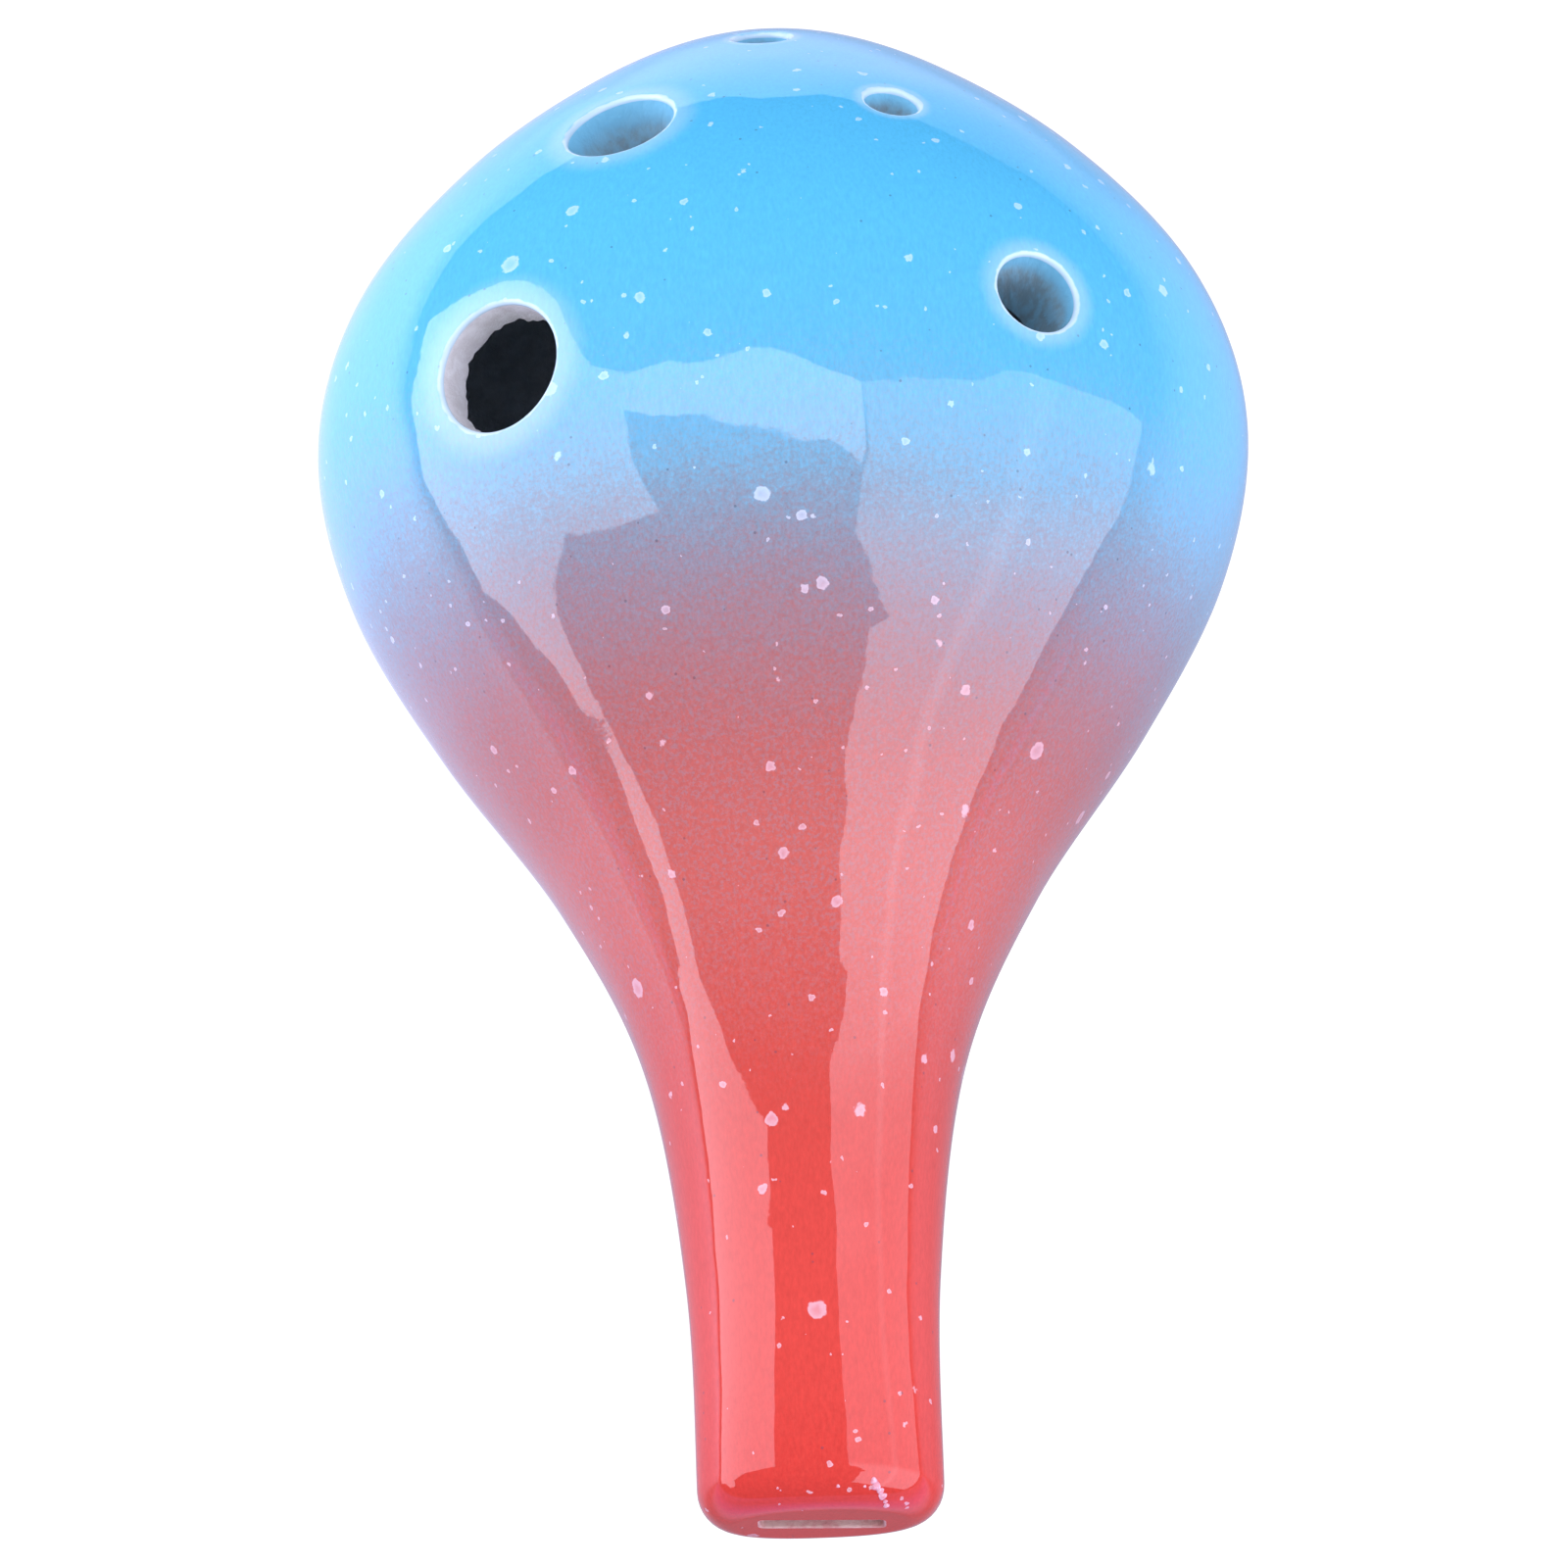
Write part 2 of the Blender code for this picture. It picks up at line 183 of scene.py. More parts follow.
def skin_normal(v, th):
    v, th = np.broadcast_arrays(np.asarray(v, float), np.asarray(th, float))
    dv, dt = 0.004, 0.002
    v = np.minimum(v, V_END - dv)
    along = skin(v + dv, th) - skin(np.maximum(v - dv, 0), th)
    around = skin(v, th + dt) - skin(v, th - dt)
    n = np.cross(along, around)
    n = n / np.maximum(np.linalg.norm(n, axis=-1, keepdims=True), 1e-12)
    return np.where((v < 1e-6)[..., None], np.array((0.0, -1.0, 0.0)), n)


def lining(v, th):
    """Points on the chamber's inside, mm: the skin drawn in by the wall, square to itself."""
    n = skin_normal(v, th) * (1, 0, 1)
    return skin(v, th) - WALL * n / (n ** 2).sum(-1, keepdims=True)


def lining_normal(v, th):
    return -skin_normal(v, th)


def turn_at(v, x, side, count=1441):
    """The angle at which the skin stands at x, above the seam for side 1 and below it for -1."""
    half = np.linspace(0, math.pi, count) * side
    return float(half[np.argmin(np.abs(skin(v, half)[:, 0] - x))])


# ---------------------------------------------------------------- mesh building

def link(name, data):
    """A new object in the scene."""
    ob = bpy.data.objects.new(name, data)
    bpy.context.scene.collection.objects.link(ob)
    return ob


def unit(a):
    return a / np.maximum(np.linalg.norm(a, axis=-1, keepdims=True), 1e-12)


def inside(points, loop):
    """Which 2-D points lie inside a closed loop."""
    x, y = points[:, 0][:, None], points[:, 1][:, None]
    a, b = loop, np.roll(loop, -1, 0)
    spans = (a[:, 1] > y) != (b[:, 1] > y)
    rise = np.where(b[:, 1] == a[:, 1], 1e-12, b[:, 1] - a[:, 1])
    return (spans & (x < (b[:, 0] - a[:, 0]) * (y - a[:, 1]) / rise + a[:, 0])).sum(1) % 2 == 1


class Shape:
    """Gathers points, and faces with a normal at each corner, and makes one mesh object of them."""

    def __init__(self):
        self.points, self.faces, self.normals, self.slots = [], [], [], []

    def add(self, points):
        points = np.asarray(points, float)
        start = len(self.points)
        self.points.extend(points.reshape(-1, 3))
        return np.arange(start, len(self.points)).reshape(points.shape[:-1])

    def face(self, ids, normals, slot):
        keep = [k for k in range(len(ids)) if ids[k] != ids[k - 1]]
        if len(keep) > 2:
            self.faces.append([int(ids[k]) for k in keep])
            self.normals.append([normals[k] for k in keep])
            self.slots.append(slot)

    def loft(self, ids, normals, slot, closed=True):
        """Quads between rows of points; closed rows run round."""
        count = ids.shape[1]
        for i in range(len(ids) - 1):
            for j in range(count if closed else count - 1):
                k = (j + 1) % count
                self.face((ids[i, j], ids[i, k], ids[i + 1, k], ids[i + 1, j]),
                          (normals[i, j], normals[i, k], normals[i + 1, k], normals[i + 1, j]), slot)

    def strip(self, a, b, facing, slot, closed=False):
        """Flat quads between two rows of points."""
        rows = np.stack((a, b))
        self.loft(rows, np.broadcast_to(np.array(facing, float), rows.shape + (3,)), slot, closed)

    def triangles(self, flat, ids, normals, edges, keep, slot):
        """Triangles between 2-D points, kept where keep(their centres) says so."""
        made = delaunay_2d_cdt([Vector(p) for p in flat], edges, [], 0, 1e-6)
        tri = np.array(made[2], int)
        places = np.array([tuple(p) for p in made[0]])
        for f in tri[keep(places[tri].mean(1))]:
            back = [made[3][k][0] for k in f]
            self.face([ids[k] for k in back], [normals[k] for k in back], slot)

    def plate(self, loops, axes, facing, slot):
        """A flat face inside the first loop of points and outside the others."""
        ids = np.concatenate(loops)
        flat = np.array([self.points[i] for i in ids])[:, axes]
        edges, outlines, start = [], [], 0
        for loop in loops:
            k = np.arange(start, start + len(loop))
            edges += list(zip(k.tolist(), np.roll(k, -1).tolist()))
            outlines.append(flat[k])
            start += len(loop)

        def keep(centres):
            ok = inside(centres, outlines[0])
            for o in outlines[1:]:
                ok &= ~inside(centres, o)
            return ok

        self.triangles(flat, ids, [np.array(facing, float)] * len(ids), edges, keep, slot)

    def finish(self, name, materials):
        points = np.array(self.points)
        faces, normals = [], []
        for f, n in zip(self.faces, self.normals):
            p = points[f]
            if np.cross(p[2] - p[0], p[-1] - p[1]) @ np.sum(n, 0) < 0:
                f, n = f[::-1], n[::-1]
            faces.append(f)
            normals.extend(n)
        used = np.unique(np.concatenate([np.array(f) for f in faces]))
        number = {int(k): i for i, k in enumerate(used)}
        mesh = bpy.data.meshes.new(name)
        mesh.from_pydata((points[used] * MM + ORIGIN).tolist(), [], [[number[k] for k in f] for f in faces])
        mesh.polygons.foreach_set("use_smooth", [True] * len(faces))
        mesh.polygons.foreach_set("material_index", self.slots)
        for m in materials:
            mesh.materials.append(m)
        mesh.normals_split_custom_set([tuple(n) for n in normals])
        return link(name, mesh)


class Opening:
    """A hole through the body near (x, y): a loop in the plane square to its axis, dropped onto the
    surfaces it goes through. An open loop starts and ends on the edge of its patch."""

    ROUNDS, STEP, MOST_V, MOST_TH = 16, 1e-4, 0.5, 0.3   # how solve goes about it

    def __init__(self, x, y, side, loop, axis=None, flip=1, closed=True, v=None):
        self.v0 = v_at(y) if v is None else v
        self.th0 = turn_at(self.v0, x, side)
        self.origin = skin(self.v0, self.th0)
        self.n = skin_normal(self.v0, self.th0) if axis is None else unit(np.array(axis, float))
        across = np.cross(self.n, (1.0, 0.0, 0.0))
        self.e1 = unit(np.cross(across, self.n))
        self.e2 = unit(across) * flip
        self.loop, self.closed = loop, closed

    def out(self):
        """Outward directions round the loop."""
        _, d = self.loop(0.0)
        return d[:, :1] * self.e1 + d[:, 1:] * self.e2

    def solve(self, surface, offset):
        """Running numbers where the loop, grown by offset, meets a surface."""
        want, _ = self.loop(offset)
        v = np.full(len(want), self.v0)
        th = np.full(len(want), self.th0)

        def miss(v, th):
            d = surface(v, th) - self.origin
            return np.stack((d @ self.e1, d @ self.e2), -1) - want

        h = self.STEP
        for _ in range(self.ROUNDS):
            f = miss(v, th)
            fv, ft = (miss(v + h, th) - f) / h, (miss(v, th + h) - f) / h
            det = fv[:, 0] * ft[:, 1] - ft[:, 0] * fv[:, 1]
            det = np.where(np.abs(det) < 1e-9, 1e-9, det)
            by_v = (f[:, 0] * ft[:, 1] - ft[:, 0] * f[:, 1]) / det
            by_th = (fv[:, 0] * f[:, 1] - f[:, 0] * fv[:, 1]) / det
            v = v - np.clip(by_v, -self.MOST_V, self.MOST_V)
            th = th - np.clip(by_th, -self.MOST_TH, self.MOST_TH)
            v = np.clip(v, 0.01, V_END - 0.01)
        return v, th


# waves round a ragged edge: how many, share, where they start
RAGGED_WAVES = ((3, 0.5, 1), (7, 0.4, 2), (13, 0.35, 0), (23, 0.30, 4), (29, 0.25, 0), (34, 0.20, 1))
CORNER_STEPS, SIDE_STEPS = 6, 12   # the slot's outline
NOTCH_STEPS = (12, 4, 10)          # the notch's: each side, each corner, the end
NEAR_LOOP = 0.45         # grid points closer to an opening than this are left out, in grid steps


def round_loop(radius, count=72, ragged=0.0):
    a = np.arange(count) * 2 * math.pi / count
    d = np.stack((np.cos(a), np.sin(a)), -1)
    wave = sum(share * np.sin(turns * a + start) for turns, share, start in RAGGED_WAVES)
    size = radius + ragged * wave
    return lambda offset: (d * (size + offset)[:, None], d)


def slot_loop(width, height):
    """A rectangle with round corners, its long sides divided; offset grows it."""
    def at(offset):
        c = SLOT_CORNER + offset
        a, b = width / 2 - SLOT_CORNER, height / 2 - SLOT_CORNER
        pts, dirs = [], []
        for k, (sx, sy) in enumerate(((1, 1), (-1, 1), (-1, -1), (1, -1))):
            for i in range(CORNER_STEPS + 1):
                t = math.pi / 2 * (k + i / CORNER_STEPS)
                pts.append((sx * a + c * math.cos(t), sy * b + c * math.sin(t)))
                dirs.append((math.cos(t), math.sin(t)))
            if k in (0, 2):
                for i in range(1, SIDE_STEPS):
                    pts.append((sx * a * (1 - 2 * i / SIDE_STEPS), sy * (b + c)))
                    dirs.append((0.0, sy))
        return np.array(pts), np.array(dirs)
    return at


def notch_loop(half, reach, corner):
    """Three sides of a rectangle with round corners, open towards -Y, from its right side to its left."""
    def at(offset):
        c = corner + offset
        straight = np.linspace(0, reach - corner, NOTCH_STEPS[0] + 1)[:-1]
        pts = [(half + offset, y) for y in straight]
        dirs = [(1.0, 0.0)] * len(pts)
        turn = np.linspace(0, math.pi / 2, NOTCH_STEPS[1] + 1)
        for sx in (1, -1):
            for t in turn[::sx]:
                pts.append((sx * (half - corner + c * math.cos(t)), reach - corner + c * math.sin(t)))
                dirs.append((sx * math.cos(t), math.sin(t)))
            if sx > 0:
                for x in np.linspace(half - corner, corner - half, NOTCH_STEPS[2] + 1)[1:-1]:
                    pts.append((x, reach + offset))
                    dirs.append((0.0, 1.0))
        pts += [(-half - offset, y) for y in straight[::-1]]
        dirs += [(-1.0, 0.0)] * len(straight)
        return np.array(pts), np.array(dirs)
    return at


def patch(shape, surface, normal, vs, ths, openings, slot, wrap=False):
    """A grid of quads over a surface, triangulated round its openings. openings are (opening, offset).
    Returns the grid's point numbers and each opening's loop of point numbers."""
    grid_v, grid_t = np.meshgrid(vs, ths, indexing="ij")
    ids = shape.add(surface(grid_v, grid_t))
    if wrap:
        ids[:, -1] = ids[:, 0]
    if vs[-1] >= V_END:
        ids[-1] = ids[-1, 0]
    normals = normal(grid_v, grid_t)
    rows, cols = ids.shape
    kept = np.ones((rows - 1, cols - 1), bool)
    loops = []
    for opening, offset in openings:
        v, th = opening.solve(surface, offset)
        loop = np.stack((np.interp(v, vs, np.arange(rows)), np.interp(th, ths, np.arange(cols))), -1)
        hole = loop if opening.closed else np.vstack((loop, (-1.0, loop[-1, 1]), (-1.0, loop[0, 1])))
        (i0, j0), (i1, j1) = np.maximum(loop.min(0).astype(int) - 1, 0), loop.max(0).astype(int) + 2
        i1, j1 = min(i1, rows - 1), min(j1, cols - 1)
        kept[i0:i1, j0:j1] = False
        numbers, corners = list(shape.add(surface(v, th))), list(normal(v, th))
        loops.append(np.array(numbers))
        flat = list(loop)
        for i in range(i0, i1 + 1):
            for j in range(j0, j1 + 1):
                p = np.array((i, j), float)
                border = i in (i0, i1) or j in (j0, j1)
                near = np.linalg.norm(loop - p, axis=1).min() < NEAR_LOOP
                if inside(p[None], hole)[0] or (near and not border):
                    continue
                flat.append(p)
                numbers.append(ids[i, j])
                corners.append(normals[i, j])
        count = len(loop) if opening.closed else len(loop) - 1
        edges = [(k, (k + 1) % len(loop)) for k in range(count)]
        shape.triangles(flat, numbers, corners, edges, lambda centres: ~inside(centres, hole), slot)
    for i, j in zip(*np.nonzero(kept)):
        shape.face((ids[i, j], ids[i, j + 1], ids[i + 1, j + 1], ids[i + 1, j]),
                   (normals[i, j], normals[i, j + 1], normals[i + 1, j + 1], normals[i + 1, j]), slot)
    return ids, loops


def lip(shape, opening, loop_ids, rim):
    """The rounded lip of an opening in the skin. Returns the ring of point numbers at its foot."""
    out = opening.out()
    rows, facings = [loop_ids], []
    for k in range(LIP_STEPS + 1):
        t = math.pi / 2 * k / LIP_STEPS
        v, th = opening.solve(skin, rim * (1 - math.sin(t)))
        facings.append(unit(skin_normal(v, th) * math.cos(t) - out * math.sin(t)))
        if k:
            rows.append(shape.add(skin(v, th) - opening.n * rim * (1 - math.cos(t))))
    shape.loft(np.stack(rows), np.stack(facings), GLAZE, opening.closed)
    return rows[-1]


def bore(shape, opening, top, bottom, slot, steps=6, rough=0.0):
    """The wall of an opening between two rings of point numbers."""
    out = opening.out()
    a, b = np.array(shape.points)[top], np.array(shape.points)[bottom]
    rows = [top]
    for k in range(1, steps):
        f = k / steps
        # uneven, and differently at each depth
        wave = rough * f * np.sin(np.arange(len(top)) * (2.3 + k) + 5 * k)
        rows.append(shape.add(a + (b - a) * f + out * wave[:, None]))
    rows.append(bottom)
    facing = np.broadcast_to(-out, (len(rows),) + out.shape)
    shape.loft(np.stack(rows), facing, slot, opening.closed)


# ---------------------------------------------------------------- the pieces

# the grid: points round half the body, and rows along each piece
HALF_POINTS, CHAMBER_ROWS, MOUTH_ROWS, BEAK_ROWS, TAIL_ROWS = 97, 93, 11, 50, 44
SLOT_LIP_STEPS, SLOT_MOUTH_ROWS, WINDWAY_ROWS = 5, 5, 14
HALF_TURN = np.linspace(0, math.pi, HALF_POINTS)
FULL_TURN = np.concatenate((-HALF_TURN[::-1], HALF_TURN[1:]))
BEAK_V, PLUG_V = v_at(BEAK_END), v_at(PLUG_START)


def make_chamber(name, side, holes, materials, notch=None):
    """One shell of the chamber, from the beak to the tail: side is 1 above the seam and -1 below."""
    shape = Shape()
    vs, ths = np.linspace(BEAK_V, PLUG_V, CHAMBER_ROWS), HALF_TURN * side
    if side < 0:
        ths = ths[::-1]
    cuts = []
    for _, x, y, radius in holes:
        bare = radius > BARE_RADIUS
        inner = round_loop(radius, ragged=RAGGED) if bare else round_loop(radius + COLLAR_WALL)
        cuts.append((Opening(x, y, side, round_loop(radius)), RIM, CLAY if bare else GLAZE,
                     Opening(x, y, side, inner)))
    if notch:
        cuts.append((notch, NOTCH_RIM, CLAY, notch))
    outer, loops = patch(shape, skin, skin_normal, vs, ths, [(c[0], c[1]) for c in cuts], GLAZE)
    # the lining and the collars take the clay that is painted darker as shade
    inner, inner_loops = patch(shape, lining, lining_normal, vs, ths, [(c[3], 0.0) for c in cuts], SHADED_LINING)
    for (opening, rim, slot, _), loop, inner_loop in zip(cuts, loops, inner_loops):
        foot = lip(shape, opening, loop, rim)
        if slot == CLAY:
            bore(shape, opening, foot, inner_loop, slot, rough=ROUGH if opening.closed else 0.0)
            continue
        # the clay pushed inwards when a small hole is pierced stands round it as a collar
        ends = []
        for offset in (0.0, COLLAR_WALL):
            v, th = opening.solve(lining, offset)
            ends.append(shape.add(lining(v, th) - opening.n * COLLAR))
        bore(shape, opening, foot, ends[0], BORE)
        out = opening.out()
        shape.loft(np.stack(ends), np.broadcast_to(-opening.n, (2,) + out.shape), SHADED_LINING)
        shape.loft(np.stack((ends[1], inner_loop)), np.broadcast_to(out, (2,) + out.shape), SHADED_LINING)
    for j in (0, -1):
        shape.strip(outer[:, j], inner[:, j], (0, 0, -side), CLAY)
    shape.strip(outer[-1], inner[-1], (0, 1, 0), CLAY)
    if not notch:
        shape.strip(outer[0], inner[0], (0, -1, 0), CLAY)
    else:
        x_outer, x_inner = skin(BEAK_V, ths)[:, 0], lining(BEAK_V, ths)[:, 0]
        just_past = WINDOW_WIDTH / 2 + 0.01
        for sign, end in ((1, 0), (-1, -1)):
            o = outer[0][x_outer * sign > just_past + NOTCH_RIM]
            i = inner[0][x_inner * sign > just_past]
            if x_outer[0] * sign > 0:
                o, i = o[::-1], i[::-1]
            ring = np.concatenate((o[::-1], (loops[-1][end], inner_loops[-1][end]), i))
            shape.plate([ring], (0, 2), (0, -1, 0), CLAY)
    return shape.finish(name, materials)


def make_beak(name, materials):
    """The mouthpiece, solid but for the windway that runs from the mouth slot to the sound window."""
    shape = Shape()
    vs = np.concatenate((np.linspace(0, 1, MOUTH_ROWS)[:-1], np.linspace(1, BEAK_V, BEAK_ROWS)))
    ids, _ = patch(shape, skin, skin_normal, vs, FULL_TURN, [], GLAZE, wrap=True)

    def ring(y, offset):
        f = y / BEAK_END
        width, height, z = (a + (b - a) * f for a, b in zip(SLOT_MOUTH, SLOT_EXIT))
        at, out = slot_loop(width, height)(offset)
        tilt = -SLOT_TILT * at[:, 0] * max(1 - y / TILT_END, 0)
        return np.column_stack((at[:, 0], np.full(len(at), y), at[:, 1] + z + tilt)), out

    rows, facings = [], []
    for k in range(SLOT_LIP_STEPS + 1):
        t = math.pi / 2 * k / SLOT_LIP_STEPS
        points, out = ring(SLOT_RIM * (1 - math.cos(t)), SLOT_RIM * (1 - math.sin(t)))
        out = np.column_stack((out[:, 0], np.zeros(len(out)), out[:, 1]))
        rows.append(shape.add(points))
        facings.append(unit(np.array((0.0, -math.cos(t), 0.0)) - out * math.sin(t)))
    shape.loft(np.stack(rows), np.stack(facings), SLOT)
    depths = (*np.linspace(SLOT_RIM, TILT_END, SLOT_MOUTH_ROWS)[1:],
              *np.linspace(TILT_END, BEAK_END, WINDWAY_ROWS)[1:])
    tunnel = [rows[-1]] + [shape.add(ring(y, 0.0)[0]) for y in depths]
    shape.loft(np.stack(tunnel), np.broadcast_to(-out, (len(tunnel),) + out.shape), SLOT)
    shape.plate([ids[0, :-1], rows[0]], (0, 2), (0, -1, 0), GLAZE)
    shape.plate([ids[-1, :-1], tunnel[-1]], (0, 2), (0, 1, 0), CLAY)
    return shape.finish(name, materials)


def make_tail(name, materials):
    """The solid tail tip: the cord tunnel goes in on top, round inside the boss and out underneath."""
    shape = Shape()
    x, y, radius = CORD_HOLE
    meet = np.array((x, *CORD_MEET))
    legs = []
    for side in (1, -1):
        place = Opening(x, y, side, None)
        round_leg = round_loop(radius, CORD_SIDES)
        legs.append(Opening(x, y, side, round_leg, axis=place.origin - meet, flip=side))
    vs = np.linspace(PLUG_V, V_END, TAIL_ROWS)
    cuts = [(leg, CORD_RIM) for leg in legs]
    ids, loops = patch(shape, skin, skin_normal, vs, FULL_TURN, cuts, GLAZE, wrap=True)
    middle = unit(legs[0].n + legs[1].n)
    stretch = 1 / np.linalg.norm(np.cross(middle, legs[0].n))
    at, _ = legs[0].loop(0.0)
    mitre = shape.add(meet + at[:, :1] * (1.0, 0.0, 0.0) + at[:, 1:] * stretch * middle)
    for leg, loop in zip(legs, loops):
        bore(shape, leg, lip(shape, leg, loop, CORD_RIM), mitre, BORE, steps=CORD_STEPS)
    a = np.arange(BOSS_SIDES) * 2 * math.pi / BOSS_SIDES
    out = np.column_stack((np.cos(a), np.zeros(BOSS_SIDES), np.sin(a)))
    wide, thin = BOSS_RADIUS + BOSS_TAPER, BOSS_RADIUS - BOSS_TAPER
    boss = ((PLUG_START, wide), (BOSS_START + BOSS_EDGE, thin), (BOSS_START, thin - BOSS_EDGE))
    rows = [shape.add(out * r + (0.0, y, CORD_MEET[1])) for y, r in boss]
    shape.loft(np.stack(rows), np.broadcast_to(out, (len(rows),) + out.shape), CLAY)
    shape.plate([rows[-1]], (0, 2), (0, -1, 0), CLAY)
    shape.plate([ids[0, :-1], rows[0]], (0, 2), (0, -1, 0), CLAY)
    return shape.finish(name, materials)


def make_wedge(name, materials):
    """The voicing wedge: a blunt edge in the jet's path, its ramp running out to the skin."""
    shape = Shape()
    half = WINDOW_WIDTH / 2 - WEDGE_GAP
    xs = np.linspace(-half, half, WEDGE_COLUMNS)
    (ey, ez), end = LABIUM_EDGE, LABIUM_END - WEDGE_GAP
    end_v = v_at(end)
    tip = [(ey + y, ez + z) for y, z in WEDGE_TIP]
    sections = []
    for x in xs:
        skin_z = skin(end_v, turn_at(end_v, x, -1, 2001))[2]
        foot = [(end - y, skin_z + z) for y, z in WEDGE_FOOT]
        sections.append(tip + foot + [(end, ez - WEDGE_FALL)])
    points = np.array([[(x, y, z) for y, z in section] for x, section in zip(xs, sections)])
    ids = shape.add(points)
    count = ids.shape[1]
    for k in range(count):
        a, b = points[len(xs) // 2, k], points[len(xs) // 2, (k + 1) % count]
        facing = unit(np.array((0.0, (b - a)[2], -(b - a)[1])))
        shape.strip(ids[:, k], ids[:, (k + 1) % count], facing, CLAY)
    for row, facing in ((ids[0], (-1, 0, 0)), (ids[-1], (1, 0, 0))):
        shape.plate([row], (1, 2), facing, CLAY)
    return shape.finish(name, materials)


def make_beads(name, materials):
    """A crust of small glaze beads on the mouth's rounding."""
    shape = Shape()
    turn = np.arange(BEAD_SIDES) * 2 * math.pi / BEAD_SIDES
    ring = np.stack((np.cos(turn), np.sin(turn)), -1)
    for x, v, radius, height in BEADS:
        place = Opening(x, None, 1, None, v=v)
        rows, facings = [], []
        for k in range(BEAD_RINGS + 1):
            a = math.pi / 2 * k / BEAD_RINGS
            wobble = 1 + BEAD_WOBBLE * np.sin(BEAD_LOBES * turn + BEAD_TURN * x)
            side = (ring * (math.cos(a) * wobble)[:, None]) @ np.stack((place.e1, place.e2))
            rise = math.sin(a) * (height + BEAD_SUNK) - BEAD_SUNK
            rows.append(shape.add(place.origin + side * radius + place.n * rise))
            facings.append(unit(side * height + place.n * math.sin(a) * radius))
        shape.loft(np.stack(rows), np.stack(facings), 0)
        under = shape.add(place.origin - place.n * BEAD_SUNK)
        for j in range(BEAD_SIDES):
            shape.face((rows[0][j - 1], rows[0][j], int(under)), [-place.n] * 3, 0)
    return shape.finish(name, materials)


# ---------------------------------------------------------------- materials

class Graph:
    """Short ways to add nodes to a material."""

    def __init__(self, name):
        self.material = bpy.data.materials.new(name)
        self.material.use_nodes = True
        self.tree = self.material.node_tree
        self.shader = self.tree.nodes["Principled BSDF"]

    def put(self, socket, value):
        if isinstance(value, bpy.types.NodeSocket):
            self.tree.links.new(value, socket)
        elif value is not None:
            socket.default_value = value

    def node(self, kind, *values, **settings):
        n = self.tree.nodes.new("ShaderNode" + kind)
        for k, v in settings.items():
            setattr(n, k, v)
        for socket, value in zip(n.inputs, values):
            self.put(socket, value)
        return n

    def position(self):
        """The place on the object in its own frame, m."""
        return self.node("TexCoord").outputs["Object"]

    def math(self, operation, a, b=None, c=None):
        return self.node("Math", a, b, c, operation=operation).outputs[0]

    def product(self, first, *others):
        for other in others:
            first = self.math("MULTIPLY", first, other)
        return first

    def largest(self, first, *others):
        for other in others:
            first = self.math("MAXIMUM", first, other)
        return first

    def stirred(self, value, noise, reach):
        """A value moved up and down by a noise; reach is the whole swing."""
        return self.math("MULTIPLY_ADD", self.math("SUBTRACT", noise, 0.5), reach, value)

    def vector(self, operation, a, b):
        n = self.node("VectorMath", a, b, operation=operation)
        return n.outputs["Value" if operation == "DISTANCE" else 0]

    def scaled(self, a, factor):
        n = self.node("VectorMath", a, operation="SCALE")
        self.put(n.inputs["Scale"], factor)
        return n.outputs[0]

    def noise(self, at, scale, detail=2.0, roughness=0.5, colour=False):
        n = self.node("TexNoise", noise_dimensions="3D")
        self.put(n.inputs["Vector"], at)
        for key, value in (("Scale", scale), ("Detail", detail), ("Roughness", roughness)):
            n.inputs[key].default_value = value
        return n.outputs["Color" if colour else 0]

    def band(self, value, start, end, low=0.0, high=1.0):
        """Eases from low to high as value goes from start to end."""
        n = self.node("MapRange", value, start, end, low, high, interpolation_type="SMOOTHSTEP")
        return n.outputs[0]

    def mix(self, factor, a, b):
        """Colour a where factor is 0, b where it is 1; a plain colour is red, green, blue."""
        n = self.node("Mix", data_type="RGBA")
        for socket, value in ((n.inputs[0], factor), (n.inputs[6], a), (n.inputs[7], b)):
            self.put(socket, (*value, 1.0) if isinstance(value, tuple) else value)
        return n.outputs[2]

    def ramp(self, value, stops, interpolation="LINEAR"):
        """Colours along a value; stops are place, colour."""
        n = self.node("ValToRGB", value)
        n.color_ramp.interpolation = interpolation
        elements = n.color_ramp.elements
        while len(elements) < len(stops):
            elements.new(0.5)
        for element, (place, _) in zip(elements, stops):
            element.position = place
        for element, (_, rgb) in zip(elements, stops):
            element.color = (*rgb, 1.0)
        return n.outputs[0]

    def cells(self, at, scale):
        """Scattered points: how far the nearest is, and two random numbers of its own."""
        n = self.node("TexVoronoi", voronoi_dimensions="3D", feature="F1")
        self.put(n.inputs["Vector"], at)
        n.inputs["Scale"].default_value = scale
        parts = self.node("SeparateColor", n.outputs["Color"])
        return n.outputs["Distance"], parts.outputs[0], parts.outputs[1]

    def surface(self, colour, height, roughness):
        """Joins up the shader with its colour, a bump of a height in mm and its roughness."""
        bump = self.node("Bump")
        bump.inputs["Distance"].default_value = MM
        self.put(bump.inputs["Height"], height)
        self.put(self.shader.inputs["Base Color"], colour)
        self.put(self.shader.inputs["Normal"], bump.outputs[0])
        self.shader.inputs["Roughness"].default_value = roughness


